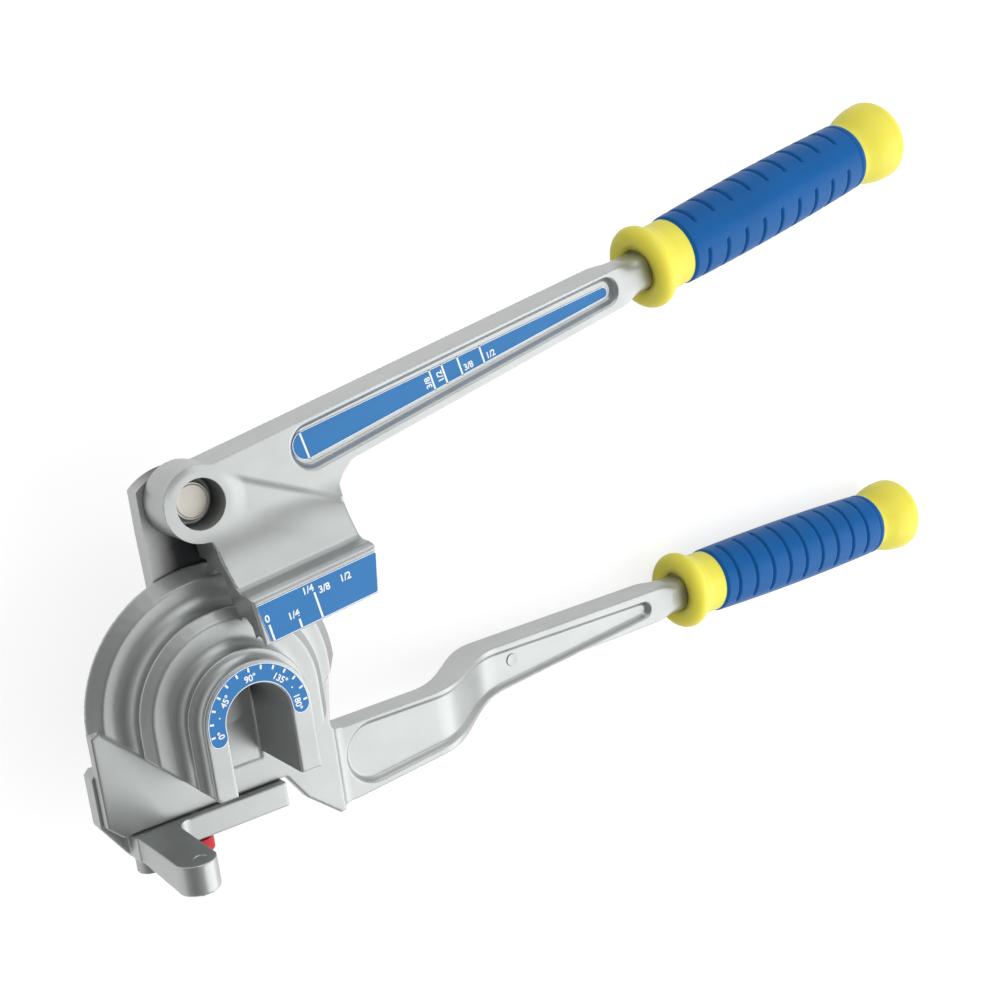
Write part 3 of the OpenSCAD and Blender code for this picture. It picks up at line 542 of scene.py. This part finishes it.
def add_ridge(name, centre, across, along, out, mat, body):
    """A low round-backed ridge along half a circle, which bulges along one direction."""
    verts, faces = [], []
    path = arc((0, 0), RIDGE_R, 0, 180, RIDGE_STEPS)
    for i, (x, y) in enumerate(path):
        wide = RIDGE_WIDE * math.sin(math.pi * (i + 0.5) / len(path)) ** 0.5
        for k in range(RIDGE_SIDES + 1):
            a = math.pi * k / RIDGE_SIDES
            r = 1 + wide * math.cos(a) / RIDGE_R
            verts.append(centre + (across * x * r + along * y * r + out * wide * math.sin(a)) * MM)
    for i in range(len(path) - 1):
        for k in range(RIDGE_SIDES):
            low = i * (RIDGE_SIDES + 1) + k
            high = low + RIDGE_SIDES + 1
            faces.append((low, high, high + 1, low + 1))
    add_mesh(name, verts, faces, mat, body)


add_ridge("arm_ridge", spot(*RIDGE_FOOT), EAST, -UP, NORTH, CASTING, "hook")

# Plain nodes keep their solids and get their finish

FINISHES = {
    "angle_dial": LABEL_BLUE,
    "shoe_scale": LABEL_BLUE,
    "handle_scale": LABEL_BLUE,
    "centre_bush": BRONZE,
    "link_pin_bush": BRONZE,
    "guide_screws": BLACKENED_STEEL_AND_PAINTED_SHADE,
    "drag_screw": GREY_STEEL,
    "lock_cap": BLACKENED_STEEL_AND_PAINTED_SHADE,
    "guide_washers": STEEL,
    "centre_pin": GREY_STEEL,
    "centre_washer": GREY_STEEL,
    "centre_rivet_washer": STEEL,
    "link_pin": STEEL,
    "link_pin_rivet_washer": STEEL,
    # Painted shade: the washer under the link pin's head is dark to stand for the shadow round the head
    "link_pin_washer": BLACKENED_STEEL_AND_PAINTED_SHADE,
    "lock_pin": STEEL,
    # Painted light and shade: the link's steel is lighter along its open edge and near black under the boss
    "link_arm": LINK_STEEL_PAINTED_SHADE,
    "lock_knob": RED,
}
for node, mat in FINISHES.items():
    paint(nodes[node], mat)

# The spring, which shortens towards its cap as the lock is pulled, gets its own copy of its mesh in spring
# steel

spring = place_piece("spring_coil", nodes["lock_spring"].data.copy(), SPRING_STEEL, "hook")
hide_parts("lock_spring")
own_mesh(spring)

# Grips

COLLAR_R = 17.9
COLLAR_LEN = 9.0
TANG_HOLE_R = 9.05
TANG_HOLE_LEN = 70
NECK_R = 14.4
SLEEVE_START = 21.0
SLEEVE_LEN = 108.0
SLEEVE_END = SLEEVE_START + SLEEVE_LEN
SLEEVE_R = 15.0
SLEEVE_SWELL = 1.0
SWELL_POWER = 0.8
SLEEVE_BORE = NECK_R - 2.2
SLEEVE_ROWS = 520
SLEEVE_SEGMENTS = 160
LIP_LEN = 1.4
LIP_DROP = 0.9
KNOB_R = 18.0
KNOB_LEN = 27.0
KNOB_MID = SLEEVE_END + KNOB_LEN * 0.7
KNOB_END = SLEEVE_END + KNOB_LEN
KNOB_ROUND = 6.0
RIB_COUNT = 9
RIB_LEAD = 7.6
RIB_PITCH = 10.9
RIB_DEPTH = 1.2
RIB_HALF_W = 0.72
RIB_ARC = math.radians(138)
RIB_FADE = math.radians(7)
# Half widths of a finger groove beyond which it has no depth left
RIB_REACH = 3
END_RING = 3.5
END_RING_DEPTH = 0.5
LOWER_GRIP_START = (246, -37.6, 67)
LOWER_RIB_TURN = math.radians(113.2)
UPPER_GRIP_START = (214.9, -5.7)
UPPER_GRIP_DEPTH = 27
UPPER_RIB_TURN = math.radians(18.5)


def grip_axis(start, angle):
    return start, Vector((math.cos(angle), math.sin(angle), 0)), UP


LOWER_GRIP = grip_axis(spot(*LOWER_GRIP_START), 0)
UPPER_GRIP = grip_axis(spot(*on_handle(*UPPER_GRIP_START), UPPER_GRIP_DEPTH), HANDLE_LEAN)


def liner_profile():
    """Profile of a grip's liner: tang hole, collar, neck, the stretch under the sleeve, and the knob."""
    ring = COLLAR_LEN / 2
    points = [(TANG_HOLE_LEN, TANG_HOLE_R), (ring, TANG_HOLE_R), (1.2, TANG_HOLE_R + 0.1)]
    points += arc((ring, COLLAR_R - ring), ring, 200, 40)
    neck = [(ring + 3.6, COLLAR_R - 1.9), (COLLAR_LEN + 1.2, NECK_R + 0.9), (COLLAR_LEN + 4, NECK_R + 0.1)]
    neck += [(SLEEVE_START - 4, NECK_R), (SLEEVE_START - 0.5, NECK_R)]
    points += curve_through(neck)
    points += [(SLEEVE_START - 0.1, NECK_R - 0.3), (SLEEVE_START, NECK_R - 2), (SLEEVE_END, NECK_R - 2)]
    flare = [(SLEEVE_END + 0.1, NECK_R - 0.6), (SLEEVE_END + 2.5, NECK_R - 0.4)]
    flare += [(SLEEVE_END + 5, NECK_R + 0.5), (SLEEVE_END + 9, KNOB_R - 1.5)]
    flare += [(KNOB_MID - 5, KNOB_R - 0.35), (KNOB_MID, KNOB_R)]
    points += curve_through(flare)
    points += arc((KNOB_MID, KNOB_R - KNOB_ROUND), KNOB_ROUND, 84, 40, 8)
    tip = [(KNOB_MID + 5.6, KNOB_R - 4.4), (KNOB_END - 1, 10), (KNOB_END - 0.2, 4.5), (KNOB_END, NEAR_AXIS)]
    points += curve_through(tip)
    return points


def sleeve_radius(s, angle, turn):
    """Radius of the sleeve at a place along it and round it."""
    t = (s - SLEEVE_START) / SLEEVE_LEN
    radius = SLEEVE_R + SLEEVE_SWELL * math.sin(math.pi * t) ** SWELL_POWER
    edge = min(s - SLEEVE_START, SLEEVE_END - s)
    radius -= LIP_DROP * (1 - smooth(edge / LIP_LEN))
    ring_off = (s - SLEEVE_END + END_RING) / RIB_HALF_W
    radius -= END_RING_DEPTH * math.exp(-ring_off * ring_off)
    first = SLEEVE_START + RIB_LEAD
    nearest = min(max(round((s - first) / RIB_PITCH), 0), RIB_COUNT - 1)
    off = (s - first - nearest * RIB_PITCH) / RIB_HALF_W
    if abs(off) > RIB_REACH:
        return radius
    # Angle from the middle of the nearer of the two grooved sides
    round_it = (angle - turn + math.pi / 2) % math.pi - math.pi / 2
    end = smooth((RIB_ARC / 2 - abs(round_it)) / RIB_FADE)
    return radius - RIB_DEPTH * end * math.exp(-off * off)


def add_sleeve(name, node, axis, turn, body):
    """The grooved sleeve of a grip, whose ends turn in under the liner's lips."""
    angles = [2 * math.pi * k / SLEEVE_SEGMENTS for k in range(SLEEVE_SEGMENTS)]
    verts = []
    for i in range(SLEEVE_ROWS + 1):
        s = SLEEVE_START + SLEEVE_LEN * i / SLEEVE_ROWS
        verts += [around(axis, s, sleeve_radius(s, a, turn), a) for a in angles]
    for s in (SLEEVE_END, SLEEVE_START):
        verts += [around(axis, s, SLEEVE_BORE, a) for a in angles]
    faces = []
    for low in range(SLEEVE_ROWS + 1):
        faces += ring_faces(low, low + 1, SLEEVE_SEGMENTS)
    faces += ring_faces(SLEEVE_ROWS + 2, 0, SLEEVE_SEGMENTS)
    piece = add_mesh(name, verts, faces, BLUE_GRIP, body)
    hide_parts(node)


for label, axis, turn, body in (
    ("lower", LOWER_GRIP, LOWER_RIB_TURN, "former"),
    ("upper", UPPER_GRIP, UPPER_RIB_TURN, "lever"),
):
    liner = lathe(label + "_liner", liner_profile(), axis, YELLOW, body)
    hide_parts(label + "_grip_liner")
    add_sleeve(label + "_sleeve", label + "_grip_sleeve", axis, turn, body)

# Printed marks on the scales

PRINT_LIFT = 0.03
BORDER_W = 0.28
LINE_W = 0.8
# Share of a figure's size by which its outline is moved out
FIGURE_WEIGHT = 0.025


def print_depth(depth):
    """Depth of print that lies just above a label whose underside is at this depth."""
    return depth - LABEL_T - PRINT_LIFT


def add_print(name, shapes, depth, body):
    """Flat white marks, each a list of plan points."""
    verts, faces = [], []
    for shape in shapes:
        faces.append(tuple(range(len(verts), len(verts) + len(shape))))
        verts += [spot(x, y, print_depth(depth)) for x, y in shape]
    add_mesh(name, verts, faces, PRINT_WHITE, body, flat=True)


def stroke(a, b, width):
    """A straight mark between two plan points, as a quad."""
    dx, dy = b[0] - a[0], b[1] - a[1]
    length = math.hypot(dx, dy)
    nx, ny = -dy / length * width / 2, dx / length * width / 2
    return [(a[0] - nx, a[1] - ny), (b[0] - nx, b[1] - ny), (b[0] + nx, b[1] + ny), (a[0] + nx, a[1] + ny)]


def band(outline, width):
    """A closed line of the given width just inside an outline of plan points that runs anticlockwise."""
    count = len(outline)
    inner = []
    for i in range(count):
        a, b = outline[i - 1], outline[(i + 1) % count]
        length = math.hypot(b[0] - a[0], b[1] - a[1])
        p = outline[i]
        inner.append((p[0] - (b[1] - a[1]) / length * width, p[1] + (b[0] - a[0]) / length * width))
    return [[outline[i - 1], outline[i], inner[i], inner[i - 1]] for i in range(count)]


def add_text(name, figure, size, place, angle, depth, body):
    """Plain figures lying flat on a label, centred on a plan point."""
    curve = bpy.data.curves.new(name, "FONT")
    curve.body = figure
    curve.size = size * MM
    curve.align_x = "CENTER"
    curve.align_y = "CENTER"
    curve.offset = size * MM * FIGURE_WEIGHT
    work = bpy.data.objects.new(name + "_work", curve)
    scene.collection.objects.link(work)
    deps = bpy.context.evaluated_depsgraph_get()
    mesh = bpy.data.meshes.new_from_object(work.evaluated_get(deps))
    bpy.data.objects.remove(work)
    mesh.transform(Matrix.Translation(spot(*place, print_depth(depth))) @ Matrix.Rotation(angle, 4, "Z"))
    place_piece(name, mesh, PRINT_WHITE, body)


# Angle dial on the hub

DIAL_OUTER_R = 19.7
DIAL_INNER_R = 13.0
DIAL_END_DROP = 1.2
DIAL_STEP = 15
DIAL_TICK = (17.55, 19.1)
DIAL_TICK_W = 0.75
DIAL_FIGURES = (0, 45, 90, 135, 180)
DIAL_FIGURE_H = 3.3
DIAL_FIGURE_R = 15.2
DIAL_DOTS = (22.5, 157.5)
DIAL_DOT_PLACE_R = 15.6
DIAL_DOT_R = 0.32


def dial_point(radius, degrees):
    """Plan point on the dial; 0 is its left end and 90 its top."""
    a = math.radians(180 + DIAL_TURN - degrees)
    return (radius * math.cos(a), radius * math.sin(a))


def dial_outline():
    middle = (DIAL_OUTER_R + DIAL_INNER_R) / 2
    end_r = (DIAL_OUTER_R - DIAL_INNER_R) / 2
    points = arc((0, 0), DIAL_OUTER_R, 0, 180, 60)
    points += arc((-middle, -DIAL_END_DROP), end_r, 180, 360, 14)
    points += arc((0, 0), DIAL_INNER_R, 180, 0, 60)
    points += arc((middle, -DIAL_END_DROP), end_r, 180, 360, 14)
    return [turned(x, y, math.radians(DIAL_TURN)) for x, y in points]


ticks = []
for degrees in range(0, 181, DIAL_STEP):
    inner_end, outer_end = [dial_point(radius, degrees) for radius in DIAL_TICK]
    ticks.append(stroke(inner_end, outer_end, DIAL_TICK_W))
add_print("dial_ticks", ticks + band(dial_outline(), BORDER_W), 0, "former")
for degrees in DIAL_FIGURES:
    turn = math.radians(90 + DIAL_TURN - degrees)
    place = dial_point(DIAL_FIGURE_R, degrees)
    add_text("dial_%d" % degrees, "%d°" % degrees, DIAL_FIGURE_H, place, turn, 0, "former")
dots = []
for degrees in DIAL_DOTS:
    dots.append(arc(dial_point(DIAL_DOT_PLACE_R, degrees), DIAL_DOT_R, 0, 315, 7))
add_print("dial_dots", dots, 0, "former")

# Scale on the shoe: (along, height) of its corners, of the ends of its lines and of its figures

SHOE_CORNERS = ((12.2, 23.7), (57.2, 23.7), (60.7, 38.4), (10.8, 38.4))
SHOE_TICKS = (
    ((13.38, 30.17), (13.68, 23.8)),
    ((24.85, 27.42), (24.97, 23.8)),
    ((33.13, 34.05), (33.67, 23.8)),
)
SHOE_FIGURES = (
    ("0", 13.3, 32.4),
    ("1/4", 23.2, 29.6),
    ("1/4", 31.0, 35.9),
    ("3/8", 37.3, 33.95),
    ("1/2", 46.34, 34.34),
)
SHOE_FIGURE_H = 3.7

shoe_marks = [stroke(on_shoe(*a), on_shoe(*b), LINE_W) for a, b in SHOE_TICKS]
shoe_marks += band([on_shoe(*corner) for corner in SHOE_CORNERS], BORDER_W)
add_print("shoe_marks", shoe_marks, 0, "lever")
for index, (figure, s, h) in enumerate(SHOE_FIGURES):
    add_text("shoe_figure_%d" % index, figure, SHOE_FIGURE_H, on_shoe(s, h), SHOE_LEAN, 0, "lever")

# Scale along the upper handle: lines across the label, and figures with (along, across, turn in degrees)

HANDLE_LABEL = ((46.0, -0.4), 5.4, (191.5, -4.8), 2.3)
HANDLE_LINES = (45.5, 104.1, 110.0, 117.5, 128.4)
HANDLE_FIGURES = (
    ("3/8", 102.2, -2.4, 90),
    ("1/2", 108.0, -2.4, 90),
    ("3/8", 121.2, -4.2, 0),
    ("1/2", 132.2, -4.4, 0),
)
HANDLE_FIGURE_H = 3.5


def handle_label_edges(u):
    """Lower and upper edge of the handle label at a place along it."""
    (au, av), ra, (bu, bv), rb = HANDLE_LABEL
    t = (u - au) / (bu - au)
    middle = av + (bv - av) * t
    half = ra + (rb - ra) * t
    return middle - half, middle + half


def handle_outline():
    (au, av), ra, (bu, bv), rb = HANDLE_LABEL
    lean = math.degrees(math.atan2(bv - av, bu - au))
    points = arc((au, av), ra, lean + 90, lean + 270, 24) + arc((bu, bv), rb, lean - 90, lean + 90, 16)
    return [on_handle(u, v) for u, v in points]


handle_marks = band(handle_outline(), BORDER_W)
for u in HANDLE_LINES:
    low, high = handle_label_edges(u)
    handle_marks.append(stroke(on_handle(u, low), on_handle(u, high), LINE_W))
add_print("handle_marks", handle_marks, HANDLE_LABEL_DEPTH, "lever")
for index, (figure, u, v, turn) in enumerate(HANDLE_FIGURES):
    name = "handle_figure_%d" % index
    angle = HANDLE_LEAN + math.radians(turn)
    add_text(name, figure, HANDLE_FIGURE_H, on_handle(u, v), angle, HANDLE_LABEL_DEPTH, "lever")

# Camera, solved from the dial's circle, the wheel's steps and the two handles

CAMERA_PLACE = spot(-222.12, 205.37, -499.57)
CAMERA_RIGHT = (0.80739, -0.12316, 0.57702)
CAMERA_UP = (0.24293, 0.96062, -0.13488)
CAMERA_BACK = (-0.53768, 0.24907, 0.80552)
CAMERA_SENSOR = 36
CAMERA_LENS = 59.22
CAMERA_SEES = 20
camera_data = bpy.data.cameras.new("camera")
camera_data.sensor_width = CAMERA_SENSOR
camera_data.lens = CAMERA_LENS
camera_data.clip_end = CAMERA_SEES
camera = bpy.data.objects.new("camera", camera_data)
pose = Matrix((CAMERA_RIGHT, CAMERA_UP, CAMERA_BACK)).transposed().to_4x4()
pose.translation = CAMERA_PLACE
camera.matrix_world = pose
scene.collection.objects.link(camera)
scene.camera = camera

# Floor, lamps and world

FLOOR_REACH = 6.0
FLOOR_GREY = 0.35
FLOOR_GLOW = 0.72
LIT_PLACE = (0, 0, 0.04)
WORLD_FILL = 0.65
SKY_BY_HEIGHT = [(0.0, 1.0), (0.24, 1.0), (0.55, 0.36), (1.0, 0.34)]
SKY_FROM_LEFT = [(0.0, 0.40), (0.2, 0.48), (0.45, 1.0)]


def seen_directly(tree):
    """1 for what the camera, mirrors or glass look at, 0 for light that falls on the object."""
    path = tree.nodes.new("ShaderNodeLightPath").outputs
    first = math_node(tree, "MAXIMUM", path["Is Camera Ray"], path["Is Glossy Ray"])
    return math_node(tree, "MAXIMUM", first, path["Is Transmission Ray"])


def floor_material():
    """A matt floor that also glows to the camera and in mirrors, where it looks white."""
    mat = bpy.data.materials.new("floor_white")
    mat.use_nodes = True
    tree = mat.node_tree
    tree.nodes.clear()
    out = tree.nodes.new("ShaderNodeOutputMaterial")
    matt = tree.nodes.new("ShaderNodeBsdfDiffuse")
    matt.inputs["Color"].default_value = (FLOOR_GREY, FLOOR_GREY, FLOOR_GREY, 1)
    glow = tree.nodes.new("ShaderNodeEmission")
    tree.links.new(math_node(tree, "MULTIPLY", seen_directly(tree), FLOOR_GLOW), glow.inputs["Strength"])
    both = tree.nodes.new("ShaderNodeAddShader")
    tree.links.new(matt.outputs[0], both.inputs[0])
    tree.links.new(glow.outputs[0], both.inputs[1])
    tree.links.new(both.outputs[0], out.inputs["Surface"])
    return mat


corners = [(x * FLOOR_REACH, y * FLOOR_REACH, 0) for x, y in ((-1, -1), (1, -1), (1, 1), (-1, 1))]
floor_mesh = bpy.data.meshes.new("floor")
floor_mesh.from_pydata(corners, [], [(0, 1, 2, 3)])
floor = bpy.data.objects.new("floor", floor_mesh)
scene.collection.objects.link(floor)
floor.data.materials.append(floor_material())


def add_lamp(name, place, size, watts):
    lamp = bpy.data.lights.new(name, "AREA")
    lamp.shape = "DISK"
    lamp.size = size
    lamp.energy = watts
    piece = bpy.data.objects.new(name, lamp)
    piece.location = place
    piece.rotation_euler = (Vector(LIT_PLACE) - Vector(place)).to_track_quat("-Z", "Y").to_euler()
    scene.collection.objects.link(piece)


add_lamp("key", (0.92, -0.48, 0.98), 1.9, 15.6)
add_lamp("fill", (0.2, 1.0, 0.9), 1.2, 4.5)

# The world is white to the camera. Mirrored in the metal it is white near the horizon, darker overhead and
# darkest towards the left, as in a room lit from the right.
world = bpy.data.worlds.new("world")
world.use_nodes = True
scene.world = world
tree = world.node_tree
direction = tree.nodes.new("ShaderNodeTexCoord").outputs["Generated"]
split = tree.nodes.new("ShaderNodeSeparateXYZ")
tree.links.new(direction, split.inputs[0])
by_height = ramp(tree, split.outputs["Z"], SKY_BY_HEIGHT)
from_left = math_node(tree, "MULTIPLY", math_node(tree, "ADD", split.outputs["X"], 1.0), 0.5)
sky = math_node(tree, "MULTIPLY", by_height, ramp(tree, from_left, SKY_FROM_LEFT))
over_fill = math_node(tree, "MULTIPLY", math_node(tree, "SUBTRACT", sky, WORLD_FILL), seen_directly(tree))
room = math_node(tree, "ADD", over_fill, WORLD_FILL)
to_camera = tree.nodes.new("ShaderNodeLightPath").outputs["Is Camera Ray"]
strength = math_node(tree, "MAXIMUM", room, to_camera)
tree.links.new(strength, tree.nodes["Background"].inputs["Strength"])
tree.nodes["Background"].inputs["Color"].default_value = (1, 1, 1, 1)

scene.view_settings.view_transform = "Standard"
